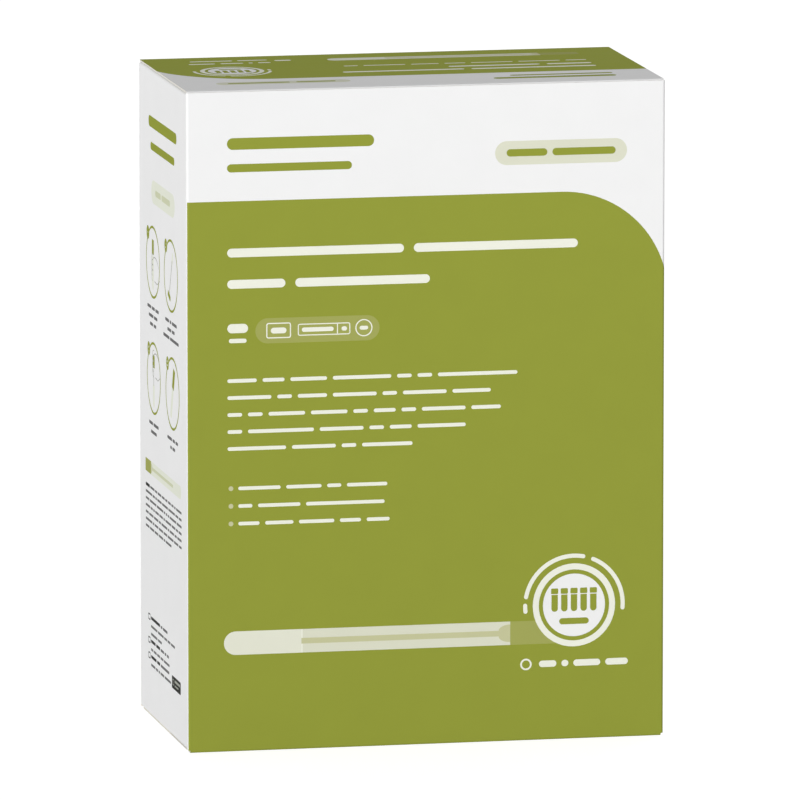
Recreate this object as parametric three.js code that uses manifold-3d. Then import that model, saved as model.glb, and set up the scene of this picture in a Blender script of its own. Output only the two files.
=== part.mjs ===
/*
 * Folding carton for swab tubes. A printed board box with a hinged tuck lid stands on its glued base
 * and holds wrapped swab tubes that lie across it in layers. The carton takes its size from them.
 * Millimetres, +Z up, front panel towards -Y, +X to the right of the front panel,
 * origin at the middle of the base.
 */
import * as THREE from 'three';
import { mergeVertices } from 'three/addons/utils/BufferGeometryUtils.js';
import Module from 'manifold-3d';

const wasm = await Module();
wasm.setup();

const DEGREE = Math.PI / 180;

// Swab tube
const TUBE_LENGTH = 150; // over the cap
const TUBE_DIAMETER = 13;
const TUBE_WALL = 1;
const CAP_HEAD = 20; // length of the cap outside the tube
const CAP_FLANGE = 0.3; // how far the cap's rim stands proud of the tube
const CAP_RIM = 5; // length of the rim round the cap's open end
const CAP_EDGE = 0.8; // chamfer of its edges
const CAP_PLUG = 4.5; // length of the cap inside the tube
const PLUG_TAPER = 1.6;
const SHAFT_DIAMETER = 2.4;
const SHAFT_IN_CAP = 6; // length of the shaft inside the cap's head
const SHAFT_IN_TIP = 8;
const TIP_DIAMETER = 5.4;
const TIP_LENGTH = 16;
const TIP_TAPER = 6.4; // length over which the tip grows to its full thickness
const TIP_TO_END = 12; // from the swab's tip to the tube's closed end
const MEDIUM_LENGTH = 35; // filled part of the tube, from its closed end
const FIT = 0.3; // clearance between pieces that touch

// Pouch round each tube
const WEB = 0.15; // thickness of the film and of the paper
const END_SEAL = 14; // from the end of the tube to the end of the pouch
const FLAT_SEAL = 7; // flat part of the end seal
const PAPER_EDGE = 20 * DEGREE; // from level up to where the paper's trough starts
const FILM_EDGE = 4 * DEGREE; // the same for the film, whose side edges end just above the seal
const SEAL_LIP = 0.35; // how far the sealed side edges stand out
const LIP_HEIGHT = 3.5; // height of the turned-up side edges

// How the tubes lie
const COLUMNS = 6;
const FULL_LAYERS = 16;
const TOP_LAYER_TUBES = 4;
const END_ROOM = 5.4; // from a pouch's end to the side panel
const BACK_ROOM = 2.1; // behind the last column
const HEADROOM = 4.8; // above the top layer

// Board
const BOARD = 0.6;
const FOLD_INSIDE = 0.4; // radius inside a fold
const SLIP = 0.3; // gap between the lid and the body
const LID_STEP = 0.5; // from the lid's face down to the front panel's cut edge
const HINGE_SLOT = 24 * DEGREE; // part of the back fold left open for the hinge

// Flaps
const TUCK_DEPTH = 18;
const TUCK_CORNER = 9;
const DUST_FLAP = 48; // length of a dust flap
const DUST_CORNER = 8;
const DUST_BEVEL = 7; // how far its back edge tapers
const SHOULDER = 10; // length of the lock at the dust flap's front edge
const SHOULDER_STEP = 3.4;
const BASE_INNER_FLAP = 58;
const BASE_DUST_FLAP = 46;
const BASE_EDGE = 1.2; // from the outer base flap's free edge to the back face
const GLUE_TAB = 14;
const TAB_TAPER = 6;

// Sizes that follow
const tubeRadius = TUBE_DIAMETER / 2;
const capRadius = tubeRadius + CAP_FLANGE;
const pouchInside = capRadius + FIT;
const pouchRadius = pouchInside + WEB;
const lipReach = pouchRadius + SEAL_LIP;
const pouchLength = TUBE_LENGTH + 2 * END_SEAL;
const columnPitch = 2 * lipReach + FIT;
const layerPitch = 2 * pouchRadius + FIT;
const packsDepth = COLUMNS * columnPitch;
const foldRadius = FOLD_INSIDE + BOARD;
const tuckDrop = TUCK_DEPTH + foldRadius;
const frontRoom = tuckDrop ** 2 / (2 * packsDepth) + BOARD + 2 * SLIP;
const baseThickness = 3 * BOARD;
const width = pouchLength + 2 * END_ROOM + 2 * BOARD;
const depth = packsDepth + frontRoom + BACK_ROOM + 3 * BOARD;
const layers = FULL_LAYERS + 1;
const dustTopGap = BOARD + SLIP;
const height = baseThickness + FIT + layers * layerPitch + HEADROOM + BOARD + dustTopGap;
const right = width / 2;
const back = depth / 2;
const dustTop = height - dustTopGap;

const GRID = 1e-4; // corners are rounded to this, so that faces in one plane stay in it

/** Closed geometry with its shared corners merged. */
function merge(geometry) {
  geometry.deleteAttribute('normal');
  geometry.deleteAttribute('uv');
  const position = geometry.attributes.position;
  position.array.forEach((value, i) => {
    position.array[i] = Math.round(value / GRID) * GRID;
  });
  return mergeVertices(geometry);
}

/** Solid of a closed geometry. */
function toSolid(geometry) {
  const merged = merge(geometry);
  return new wasm.Manifold(new wasm.Mesh({
    numProp: 3,
    vertProperties: new Float32Array(merged.attributes.position.array),
    triVerts: new Uint32Array(merged.index.array),
  }));
}

/** Geometry of a solid. */
function toGeometry(solid) {
  const mesh = solid.getMesh();
  const geometry = new THREE.BufferGeometry();
  geometry.setAttribute('position', new THREE.BufferAttribute(mesh.vertProperties, 3));
  geometry.setIndex(new THREE.BufferAttribute(mesh.triVerts, 1));
  geometry.computeVertexNormals();
  return geometry;
}

/** Prism of a shape, along the third of three axes, from one place on that axis to another. */
function prism(shape, across, up, along, from, to) {
  const options = { depth: to - from, bevelEnabled: false, curveSegments: 6 };
  const geometry = new THREE.ExtrudeGeometry(shape, options);
  geometry.translate(0, 0, from);
  geometry.applyMatrix4(new THREE.Matrix4().makeBasis(across, up, along));
  return toSolid(geometry);
}

const X = new THREE.Vector3(1, 0, 0);
const Y = new THREE.Vector3(0, 1, 0);
const Z = new THREE.Vector3(0, 0, 1);
const MINUS_Y = new THREE.Vector3(0, -1, 0);
const alongX = (shape, from, to) => prism(shape, Y, Z, X, from, to);
const alongY = (shape, from, to) => prism(shape, X, Z, MINUS_Y, -to, -from);
const alongZ = (shape, from, to) => prism(shape, X, Y, Z, from, to);

/** Closed outline through corners [x, y, radius]. */
function roundedOutline(corners) {
  const shape = new THREE.Shape();
  const count = corners.length;
  corners.forEach(([x, y, radius = 0], i) => {
    const here = new THREE.Vector2(x, y);
    const towards = (j) => (
      new THREE.Vector2(corners[j][0], corners[j][1]).sub(here).setLength(radius).add(here)
    );
    const enter = towards((i + count - 1) % count);
    const leave = towards((i + 1) % count);
    if (i === 0) shape.moveTo(enter.x, enter.y);
    else shape.lineTo(enter.x, enter.y);
    if (radius > 0) shape.quadraticCurveTo(x, y, leave.x, leave.y);
  });
  shape.closePath();
  return shape;
}

/**
 * Section of folded board. The printed face starts at a point with a heading and follows the moves:
 * a run goes straight on, a fold turns towards the inner face, which lies on the left (side 1)
 * or on the right (side -1).
 */
function boardSection([u, v], heading, side, moves) {
  const steps = 5;
  const printed = [];
  const inner = [];
  const point = new THREE.Vector2(u, v);
  let angle = heading;
  const inwards = () => new THREE.Vector2(-Math.sin(angle) * side, Math.cos(angle) * side);
  const mark = () => {
    printed.push(point.clone());
    inner.push(point.clone().addScaledVector(inwards(), BOARD));
  };
  mark();
  for (const move of moves) {
    if (move.run) {
      point.x += move.run * Math.cos(angle);
      point.y += move.run * Math.sin(angle);
      mark();
      continue;
    }
    const centre = point.clone().addScaledVector(inwards(), foldRadius);
    for (let i = 0; i < steps; i += 1) {
      angle += (side * move.fold) / steps;
      point.copy(centre).addScaledVector(inwards(), -foldRadius);
      mark();
    }
  }
  return new THREE.Shape([...printed, ...inner.reverse()]);
}

const sideEnd = right - foldRadius; // where a front or back panel meets its corner folds
const backEnd = back - foldRadius; // where a side panel meets its corner folds
const dustFoldTop = dustTop - foldRadius;

/** Side panel with the dust flap above it, which has its lock shoulder at the front, and the one below. */
function sidePanel(side) {
  const baseTop = 2 * BOARD + foldRadius;
  const start = [side * (right - BASE_DUST_FLAP), 2 * BOARD];
  const section = boardSection(start, side > 0 ? 0 : 180 * DEGREE, side, [
    { run: BASE_DUST_FLAP - foldRadius }, { fold: 90 * DEGREE },
    { run: dustFoldTop - baseTop },
    { fold: 90 * DEGREE }, { run: DUST_FLAP - foldRadius },
  ]);
  const shoulder = right - BOARD - SHOULDER;
  const tip = right - DUST_FLAP;
  const front = SHOULDER_STEP - backEnd;
  const topFlap = roundedOutline([
    [side * (right + 1), -back - 1], [side * shoulder, -back - 1], [side * shoulder, front, 1],
    [side * tip, front + 1, DUST_CORNER], [side * tip, backEnd - DUST_BEVEL, DUST_CORNER],
    [side * shoulder, back], [side * shoulder, back + 1], [side * (right + 1), back + 1],
  ]);
  const baseCorner = backEnd - DUST_BEVEL;
  const baseFlap = roundedOutline([
    [side * (right + 1), -back - 1], [side * sideEnd, -back - 1], [side * (tip - 1), -baseCorner],
    [side * (tip - 1), baseCorner], [side * sideEnd, back + 1], [side * (right + 1), back + 1],
  ]);
  const kept = alongZ(topFlap, height / 2, height).add(alongZ(baseFlap, -1, height / 2));
  return alongY(section, -backEnd, backEnd).intersect(kept);
}

/** Front panel, from its cut top edge to the outer base flap. */
function frontPanel() {
  const top = height - LID_STEP;
  const section = boardSection([-back, top], -90 * DEGREE, 1, [
    { run: top - foldRadius }, { fold: 90 * DEGREE }, { run: depth - foldRadius - BASE_EDGE },
  ]);
  return alongX(section, -sideEnd, sideEnd);
}

/** Back panel, from the hinge slot in its top fold to the inner base flap. */
function backPanel() {
  const slot = 45 * DEGREE - HINGE_SLOT / 2;
  const start = [backEnd + foldRadius * Math.cos(slot), height - foldRadius * (1 - Math.sin(slot))];
  const section = boardSection(start, slot - 90 * DEGREE, -1, [
    { fold: slot }, { run: height - BOARD - 2 * foldRadius },
    { fold: 90 * DEGREE }, { run: BASE_INNER_FLAP - foldRadius },
  ]);
  return alongX(section, -sideEnd, sideEnd);
}

/** Round fold between two upright panels. */
function cornerFold(xSide, ySide) {
  const start = Math.atan2(ySide, xSide) - 45 * DEGREE;
  const shape = new THREE.Shape();
  const [x, y] = [xSide * sideEnd, ySide * backEnd];
  shape.absarc(x, y, foldRadius, start, start + 90 * DEGREE, false);
  shape.absarc(x, y, FOLD_INSIDE, start + 90 * DEGREE, start, true);
  return alongZ(shape, foldRadius, ySide < 0 ? height - LID_STEP : dustFoldTop);
}

/** Tab of the left panel, glued inside the back panel. */
function glueTab() {
  const start = BOARD / 2 - right;
  const end = BOARD - right + GLUE_TAB;
  const [low, high] = [3 * BOARD + foldRadius, dustFoldTop - foldRadius];
  const outline = roundedOutline([
    [start, low], [end, low + TAB_TAPER], [end, high - TAB_TAPER], [start, high],
  ]);
  return alongY(outline, back - 2 * BOARD, back - BOARD / 2);
}

function cartonBody() {
  const corners = [[-1, -1], [1, -1], [1, 1], [-1, 1]].map(([xSide, ySide]) => cornerFold(xSide, ySide));
  const parts = [frontPanel(), backPanel(), sidePanel(-1), sidePanel(1), glueTab(), ...corners];
  return toGeometry(parts.reduce((whole, part) => whole.add(part)));
}

/**
 * Lid panel with its tuck flap. The flap leans in so that its free edge clears the front panel
 * as the lid turns about the back top edge.
 */
function cartonLid() {
  const start = 45 * DEGREE + HINGE_SLOT / 2;
  const frontReach = depth - BOARD - SLIP;
  const tipReach = Math.sqrt(frontReach ** 2 - tuckDrop ** 2);
  const lean = Math.atan2(frontReach - tipReach, TUCK_DEPTH);
  const section = boardSection(
    [back - foldRadius * (1 - Math.cos(start)), height - foldRadius * (1 - Math.sin(start))],
    start + 90 * DEGREE, 1,
    [
      { fold: 90 * DEGREE - start },
      { run: frontReach - 2 * foldRadius },
      { fold: 90 * DEGREE + lean },
      { run: TUCK_DEPTH / Math.cos(lean) },
    ],
  );
  const side = right - SLIP;
  const tuckSide = right - BOARD - SHOULDER - 1;
  const underside = height - BOARD;
  const tip = height - tuckDrop;
  const outline = roundedOutline([
    [-side, height + 1], [-side, underside], [-tuckSide, underside], [-tuckSide, tip, TUCK_CORNER],
    [tuckSide, tip, TUCK_CORNER], [tuckSide, underside], [side, underside], [side, height + 1],
  ]);
  return toGeometry(alongX(section, -side, side).intersect(alongY(outline, -back - 1, back + 1)));
}

/** Closed sheet between two grids of points of the same size, the first of them facing out. */
function sheet(outer, inner) {
  const rows = outer.length;
  const count = outer[0].length;
  const positions = [...outer.flat(), ...inner.flat()].flatMap((p) => p.toArray());
  const over = (i, j) => i * count + j;
  const under = (i, j) => rows * count + i * count + j;
  const index = [];
  const quad = (a, b, c, d) => index.push(a, c, b, a, d, c);
  for (let i = 0; i < rows - 1; i += 1) {
    for (let j = 0; j < count - 1; j += 1) {
      quad(over(i, j), over(i + 1, j), over(i + 1, j + 1), over(i, j + 1));
      quad(under(i, j), under(i, j + 1), under(i + 1, j + 1), under(i + 1, j));
    }
    quad(over(i, 0), under(i, 0), under(i + 1, 0), over(i + 1, 0));
    quad(over(i, count - 1), over(i + 1, count - 1), under(i + 1, count - 1), under(i, count - 1));
  }
  for (let j = 0; j < count - 1; j += 1) {
    quad(over(0, j), over(0, j + 1), under(0, j + 1), under(0, j));
    quad(over(rows - 1, j), under(rows - 1, j), under(rows - 1, j + 1), over(rows - 1, j + 1));
  }
  const geometry = new THREE.BufferGeometry();
  geometry.setAttribute('position', new THREE.Float32BufferAttribute(positions, 3));
  geometry.setIndex(index);
  geometry.computeVertexNormals();
  return geometry;
}

const halfPouch = pouchLength / 2;
const halfTube = TUBE_LENGTH / 2;
const mirrored = (half) => [...half.map(([x, round]) => [-x, round]), ...half.reverse()];

/** Places along a pouch, each with how round it is there: 0 in the flat seals, 1 round the tube. */
const stations = mirrored([
  [halfPouch, 0], [halfPouch - FLAT_SEAL, 0], [halfPouch - FLAT_SEAL * 1.6, 0.72], [halfTube, 1],
]);
const plainStations = mirrored([[halfPouch, 0], [halfTube, 1]]);

/** Evenly spaced unit vectors from one angle to another, as [cosine, sine] pairs. */
const fan = (from, to, steps) => Array.from({ length: steps + 1 }, (_, i) => {
  const angle = from + ((to - from) * i) / steps;
  return [Math.cos(angle), Math.sin(angle)];
});

/** Point of a web round the tube, moved in from its outer face. Where it is less round, it lies flatter. */
function webPoint(x, round, [c, s], offset, lift) {
  const normal = new THREE.Vector2(c * round, s * round + Math.sign(s) * (1 - round)).normalize();
  return new THREE.Vector3(
    x, c * pouchRadius - normal.x * offset, s * round * pouchRadius + lift - normal.y * offset,
  );
}

/** Film web: an arch over the tube that comes down to flat seals at both ends. */
function pouchFilm() {
  const arch = fan(FILM_EDGE, Math.PI - FILM_EDGE, 8);
  const grid = (offset) => stations.map(([x, round]) => (
    arch.map((way) => webPoint(x, round, way, offset, (1 - round) * (FIT + WEB)))
  ));
  return sheet(grid(0), grid(WEB));
}

/** Paper web: a trough under the tube with its sealed side edges turned up. */
function pouchPaper() {
  const trough = fan(Math.PI + PAPER_EDGE, 2 * Math.PI - PAPER_EDGE, 6);
  const flatSlope = 0.05; // keeps the edge's top outside its foot in the flat seals
  const grid = (offset) => stations.map(([x, round]) => {
    const flat = 1 - round;
    const lip = (side, z) => new THREE.Vector3(
      x, side * (lipReach - offset * round + (z - LIP_HEIGHT) * flat * flatSlope), z * round + offset * flat,
    );
    return [
      lip(-1, LIP_HEIGHT), lip(-1, 0), ...trough.map((way) => webPoint(x, round, way, offset, 0)),
      lip(1, 0), lip(1, LIP_HEIGHT),
    ];
  });
  return sheet(grid(0), grid(WEB));
}

/**
 * A full layer of wrapped tubes whose side seals run into each other. The outline holds [y, z] points
 * over the top half of one tube, from its left seal until just before its right one.
 */
function packedLayer(outline, places) {
  const across = Array.from({ length: COLUMNS }, (_, i) => (i + 0.5 - COLUMNS / 2) * columnPitch);
  const row = [...across.flatMap((middle) => outline.map(([y, z]) => [middle + y, z])), [packsDepth / 2, 0]];
  const grid = (up) => places.map(([x, round]) => (
    row.map(([y, z]) => new THREE.Vector3(x, y, up * Math.max(z * round, WEB)))
  ));
  return sheet(grid(-1), grid(1));
}

const crown = pouchRadius / 2; // half of the flat top of a plain layer's outline
const plainOutline = [[-columnPitch / 2, 0], [-crown, pouchRadius], [crown, pouchRadius]];
const roundOutline = [
  [-columnPitch / 2, 0],
  ...fan(Math.PI, 0, 6).slice(1, -1).map(([c, s]) => [c * pouchRadius, s * pouchRadius]),
  [pouchRadius, 0],
];

/** Turned solid from [radius, place along the tube] pairs. */
function turned(profile, segments) {
  const points = profile.map(([radius, place]) => new THREE.Vector2(radius, place));
  const geometry = merge(new THREE.LatheGeometry(points, segments));
  geometry.computeVertexNormals();
  return geometry;
}

/** Quarter circle that ends on the axis at the given place, as [radius, place] pairs. */
function roundEnd(radius, end, steps = 4) {
  const start = end - radius;
  const curve = fan(0, Math.PI / 2, steps).slice(0, -1);
  return [...curve.map(([c, s]) => [c * radius, start + s * radius]), [0, end]];
}

const bore = tubeRadius - TUBE_WALL;
const shaftRadius = SHAFT_DIAMETER / 2;
const socketRadius = shaftRadius + FIT;
const shaftStart = CAP_HEAD - SHAFT_IN_CAP;
const tipEnd = TUBE_LENGTH - TIP_TO_END;
const tipNeck = tipEnd - TIP_LENGTH;
const tipRadius = TIP_DIAMETER / 2;

/** Tube, open at the cap and round at the far end. */
function tube() {
  const rim = CAP_HEAD + FIT;
  return turned([
    ...roundEnd(bore, TUBE_LENGTH - TUBE_WALL).reverse(),
    [bore, rim], [tubeRadius, rim],
    ...roundEnd(tubeRadius, TUBE_LENGTH),
  ], 14);
}

/** Cap with a rim, a tapered plug that fits the tube, and a socket for the swab's shaft. */
function cap() {
  const plug = bore - FIT;
  const waist = tubeRadius - CAP_FLANGE;
  const rim = CAP_HEAD - CAP_RIM;
  const plugEnd = CAP_HEAD + CAP_PLUG;
  return turned([
    [0, 0], [waist - CAP_EDGE, 0], [waist, CAP_EDGE], [waist, rim],
    [capRadius, rim + CAP_EDGE], [capRadius, CAP_HEAD],
    [plug, CAP_HEAD], [plug, plugEnd - PLUG_TAPER], [plug - PLUG_TAPER, plugEnd],
    [socketRadius, plugEnd], [socketRadius, shaftStart - FIT], [0, shaftStart - FIT],
  ], 14);
}

/** Swab shaft from the cap's socket to the one in the tip. */
function swabShaft() {
  const end = tipNeck + SHAFT_IN_TIP;
  return turned([[0, shaftStart], [shaftRadius, shaftStart], [shaftRadius, end], [0, end]], 10);
}

/** Wound fibre tip with the socket that the shaft fills. */
function swabTip() {
  const socketEnd = tipNeck + SHAFT_IN_TIP + FIT;
  return turned([
    [0, socketEnd], [socketRadius, socketEnd], [socketRadius, tipNeck],
    [socketRadius + 2 * FIT, tipNeck], [tipRadius, tipNeck + TIP_TAPER],
    ...roundEnd(tipRadius, tipEnd),
  ], 12);
}

/** Soft medium that fills the tube's closed end, round the tip. */
function medium() {
  const surface = TUBE_LENGTH - MEDIUM_LENGTH;
  const outside = bore - FIT;
  const inside = tipRadius + FIT;
  return turned([
    ...roundEnd(inside, tipEnd + FIT, 3).reverse(),
    [inside, surface], [outside, surface],
    ...roundEnd(outside, TUBE_LENGTH - TUBE_WALL - FIT, 3),
  ], 10);
}

const BOARD_LOOK = { color: 0xf2f2f0, roughness: 0.45, metalness: 0 };
const LOOKS = {
  film: { color: 0xe9eef0, roughness: 0.15, metalness: 0, transparent: true, opacity: 0.35 },
  paper: { color: 0xf4f4f2, roughness: 0.85, metalness: 0 },
  tube: { color: 0xe4eae8, roughness: 0.2, metalness: 0, transparent: true, opacity: 0.5 },
  cap: { color: 0x919b3d, roughness: 0.4, metalness: 0 },
  shaft: { color: 0xf6f6f4, roughness: 0.4, metalness: 0 },
  tip: { color: 0xffffff, roughness: 1, metalness: 0 },
  medium: { color: 0xe6e5d6, roughness: 0.3, metalness: 0, transparent: true, opacity: 0.7 },
};

function named(name, geometry, look) {
  const mesh = new THREE.Mesh(geometry, new THREE.MeshStandardMaterial(look));
  mesh.name = name;
  return mesh;
}

const columnY = (column) => BOARD - back + frontRoom + (column + 0.5) * columnPitch;
const layerZ = (layer) => baseThickness + FIT + pouchRadius + layer * layerPitch;

/** One wrapped tube. Neighbours lie head to tail, so heading is 1 or -1 along X. */
function wrappedTube(name, heading) {
  const pack = new THREE.Group();
  pack.add(named(`${name}_film`, pouchFilm(), LOOKS.film));
  pack.add(named(`${name}_paper`, pouchPaper(), LOOKS.paper));
  const swab = new THREE.Group();
  swab.add(named(`${name}_tube`, tube(), LOOKS.tube));
  swab.add(named(`${name}_cap`, cap(), LOOKS.cap));
  swab.add(named(`${name}_shaft`, swabShaft(), LOOKS.shaft));
  swab.add(named(`${name}_tip`, swabTip(), LOOKS.tip));
  swab.add(named(`${name}_medium`, medium(), LOOKS.medium));
  swab.rotation.z = -heading * 90 * DEGREE;
  swab.position.x = -heading * halfTube;
  pack.add(swab);
  return pack;
}

/** All tubes: whole layers below, and single ones on top. */
function contents() {
  const group = new THREE.Group();
  for (let layer = 0; layer < FULL_LAYERS; layer += 1) {
    const seen = layer === FULL_LAYERS - 1;
    const geometry = seen ? packedLayer(roundOutline, stations) : packedLayer(plainOutline, plainStations);
    const number = String(layer + 1).padStart(2, '0');
    const mesh = named(`packed_layer_${number}`, geometry, LOOKS.paper);
    mesh.position.set(0, (columnY(0) + columnY(COLUMNS - 1)) / 2, layerZ(layer));
    group.add(mesh);
  }
  for (let column = 0; column < TOP_LAYER_TUBES; column += 1) {
    const pack = wrappedTube(`swab_${column + 1}`, column % 2 === 0 ? 1 : -1);
    pack.position.set(0, columnY(column), layerZ(FULL_LAYERS));
    group.add(pack);
  }
  return group;
}

const group = new THREE.Group();
group.add(named('carton_body', cartonBody(), BOARD_LOOK));
group.add(named('carton_lid', cartonLid(), BOARD_LOOK));
group.add(contents());

export default group;
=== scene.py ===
"""Looks of a printed folding carton that is filled with wrapped swab tubes.

The carton's board gets coated, uncoated and cut faces. Its print is made of thin plates of ink on
the panels: fields of colour, pills, rings, a tube pictogram, and bars that stand where words
would be. Print is placed on its panel with u to the right and v up, as the print is read.
Lengths are in millimetres and angles in degrees, unless a comment says otherwise.
"""
import math
import random

import bmesh
import bpy
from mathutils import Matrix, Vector, noise

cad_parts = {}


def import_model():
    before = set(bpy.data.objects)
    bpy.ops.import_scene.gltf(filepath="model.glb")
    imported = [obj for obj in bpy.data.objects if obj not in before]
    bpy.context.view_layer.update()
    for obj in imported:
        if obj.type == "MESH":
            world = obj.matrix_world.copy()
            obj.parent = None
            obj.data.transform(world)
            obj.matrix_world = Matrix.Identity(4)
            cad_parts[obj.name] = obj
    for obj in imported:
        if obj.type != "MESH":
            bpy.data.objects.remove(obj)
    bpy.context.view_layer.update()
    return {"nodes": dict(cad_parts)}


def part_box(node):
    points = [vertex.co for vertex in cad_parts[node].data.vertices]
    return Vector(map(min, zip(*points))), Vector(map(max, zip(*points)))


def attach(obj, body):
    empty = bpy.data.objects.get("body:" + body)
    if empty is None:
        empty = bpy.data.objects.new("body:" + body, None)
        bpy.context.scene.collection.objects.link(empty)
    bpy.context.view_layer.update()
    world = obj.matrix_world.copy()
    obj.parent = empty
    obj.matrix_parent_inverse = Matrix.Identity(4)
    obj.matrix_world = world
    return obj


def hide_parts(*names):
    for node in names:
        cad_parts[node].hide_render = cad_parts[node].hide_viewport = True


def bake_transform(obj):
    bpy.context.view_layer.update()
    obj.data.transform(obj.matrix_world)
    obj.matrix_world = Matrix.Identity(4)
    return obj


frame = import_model()

MM = 0.001
BODY, LID = "carton", "lid"
body_low, body_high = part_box("carton_body")
WIDTH = (body_high.x - body_low.x) / MM
DEPTH = (body_high.y - body_low.y) / MM
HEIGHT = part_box("carton_lid")[1].z / MM
FOLD = 1.0  # radius of the printed face at a fold
BOARD = 0.6  # thickness of the board
SLIP = 0.3  # gap between the lid's side edges and the side panels' faces
FRONT_FOOT = FOLD  # where the front panel's face meets the fold under it
BACK_FOOT = FOLD + BOARD  # the same at the back, whose base flap lies on the front's
LID_BOARD = 57  # how far round the back fold, from the back panel up, the lid's own board starts


def srgb(r, g, b):
    """Linear colour of an sRGB colour from 0 to 255."""
    def linear(c):
        c /= 255
        return c / 12.92 if c <= 0.04045 else ((c + 0.055) / 1.055) ** 2.4
    return (linear(r), linear(g), linear(b), 1.0)


WHITE, OLIVE = srgb(243, 243, 243), srgb(148, 156, 61)


# ---- materials

class Nodes:
    """Short way to add and link shader nodes in one material."""

    def __init__(self, name):
        self.material = bpy.data.materials.new(name)
        self.material.use_nodes = True
        self.tree = self.material.node_tree
        self.shader = self.tree.nodes["Principled BSDF"]

    def add(self, kind, **values):
        """New node. Each value is for the property of that name or, if there is none, the input."""
        node = self.tree.nodes.new(kind)
        for key, value in values.items():
            if hasattr(node, key):
                setattr(node, key, value)
            else:
                node.inputs[key.replace("_", " ")].default_value = value
        return node

    def link(self, source, target):
        self.tree.links.new(source, target)

    def set(self, **values):
        """Values for the shader's own inputs."""
        for key, value in values.items():
            self.shader.inputs[key.replace("_", " ")].default_value = value


def object_noise(n, scale, detail, stretch=(1, 1, 1)):
    """Noise over the object's own coordinates, so that it stays on a piece that moves."""
    place = n.add("ShaderNodeTexCoord")
    mapping = n.add("ShaderNodeMapping", Scale=stretch)
    cloud = n.add("ShaderNodeTexNoise", Scale=scale, Detail=detail)
    n.link(place.outputs["Object"], mapping.inputs["Vector"])
    n.link(mapping.outputs["Vector"], cloud.inputs["Vector"])
    return cloud.outputs["Fac"]


def ranged(n, value, low=0.0, high=1.0, start=0.3, end=0.7):
    """Value between start and end turned into a number between low and high."""
    node = n.add("ShaderNodeMapRange", From_Min=start, From_Max=end, To_Min=low, To_Max=high)
    n.link(value, node.inputs["Value"])
    return node.outputs["Result"]


def mottled(n, colour, value, spread):
    """Colour that varies in brightness by a small share."""
    def lit(brightness):
        return tuple(min(1, c * brightness) for c in colour[:3]) + (1.0,)
    share = ranged(n, value)
    mix = n.add("ShaderNodeMix", data_type="RGBA")
    mix.inputs["A"].default_value = lit(1 - spread)
    mix.inputs["B"].default_value = lit(1 + spread)
    n.link(share, mix.inputs["Factor"])
    n.link(mix.outputs["Result"], n.shader.inputs["Base Color"])


def roughened(n, value, low, high):
    """Roughness that varies between two numbers."""
    n.link(ranged(n, value, low, high), n.shader.inputs["Roughness"])


def bumped(n, value, strength, relief):
    """Relief from a value, of a height in millimetres. Returns the surface's new normal."""
    bump = n.add("ShaderNodeBump", Strength=strength, Distance=relief * MM)
    n.link(value, bump.inputs["Height"])
    n.link(bump.outputs["Normal"], n.shader.inputs["Normal"])
    return bump.outputs["Normal"]


def clear_web(n, alpha, edge_alpha, normal):
    """See-through surface that shows more of itself where it turns away from the eye."""
    facing = n.add("ShaderNodeLayerWeight")
    n.link(normal, facing.inputs["Normal"])
    seen = ranged(n, facing.outputs["Facing"], alpha, edge_alpha, start=0.25, end=1.0)
    n.link(seen, n.shader.inputs["Alpha"])


def printed(name, colour, spread=0.012):
    """Ink or coating on board: fine fibre relief and a matt surface."""
    n = Nodes(name)
    n.set(Specular_IOR_Level=0.04)
    cloud = object_noise(n, scale=60, detail=4)
    mottled(n, colour, cloud, spread)
    roughened(n, cloud, 0.81, 0.9)
    fibres = object_noise(n, scale=2400, detail=2, stretch=(1, 1, 0.6))
    bumped(n, fibres, strength=0.12, relief=0.05)
    return n.material


def raw_board():
    """Uncoated back of the board: matte and slightly warm, with fibres and flecks."""
    n = Nodes("raw_board")
    n.set(Roughness=0.85, Specular_IOR_Level=0.2)
    flecks = object_noise(n, scale=900, detail=5, stretch=(1, 1, 0.35))
    mottled(n, srgb(226, 222, 212), flecks, spread=0.05)
    fibres = object_noise(n, scale=1500, detail=3, stretch=(1, 1, 0.4))
    bumped(n, fibres, strength=0.35, relief=0.08)
    return n.material


def cut_board():
    """Cut edge of the board, with fine specks of darker fibre."""
    n = Nodes("cut_board")
    n.set(Roughness=0.9, Specular_IOR_Level=0.15)
    mottled(n, srgb(232, 229, 220), object_noise(n, scale=3000, detail=4), spread=0.10)
    bumped(n, object_noise(n, scale=4000, detail=2), strength=0.4, relief=0.05)
    return n.material


def moulded(name, colour, roughness, clear=None):
    """Moulded plastic with flow streaks. A clear one has its alpha face on and at its edge."""
    n = Nodes(name)
    n.set(IOR=1.49)
    streaks = object_noise(n, scale=120, detail=3, stretch=(0.15, 1, 1))
    mottled(n, colour, streaks, spread=0.03)
    roughened(n, streaks, roughness - 0.04, roughness + 0.06)
    normal = bumped(n, object_noise(n, scale=700, detail=2), strength=0.08, relief=0.05)
    if clear:
        clear_web(n, *clear, normal)
    return n.material


def wrap(name, colour, roughness, clear=None):
    """Pouch web with fine crinkles. A clear one has its alpha face on and at its edge."""
    n = Nodes(name)
    crinkles = object_noise(n, scale=160, detail=4, stretch=(0.5, 1, 1))
    mottled(n, colour, crinkles, spread=0.03)
    roughened(n, crinkles, roughness - 0.05, roughness + 0.08)
    normal = bumped(n, crinkles, strength=0.5, relief=0.4)
    if clear:
        clear_web(n, *clear, normal)
    return n.material


def fibre():
    """Wound cotton: soft and matte, with threads round the tip."""
    n = Nodes("cotton")
    n.set(Roughness=1.0, Sheen_Weight=0.4)
    threads = object_noise(n, scale=900, detail=4, stretch=(0.4, 1, 1))
    mottled(n, srgb(246, 246, 243), threads, spread=0.06)
    bumped(n, threads, strength=0.7, relief=0.3)
    return n.material


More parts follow.
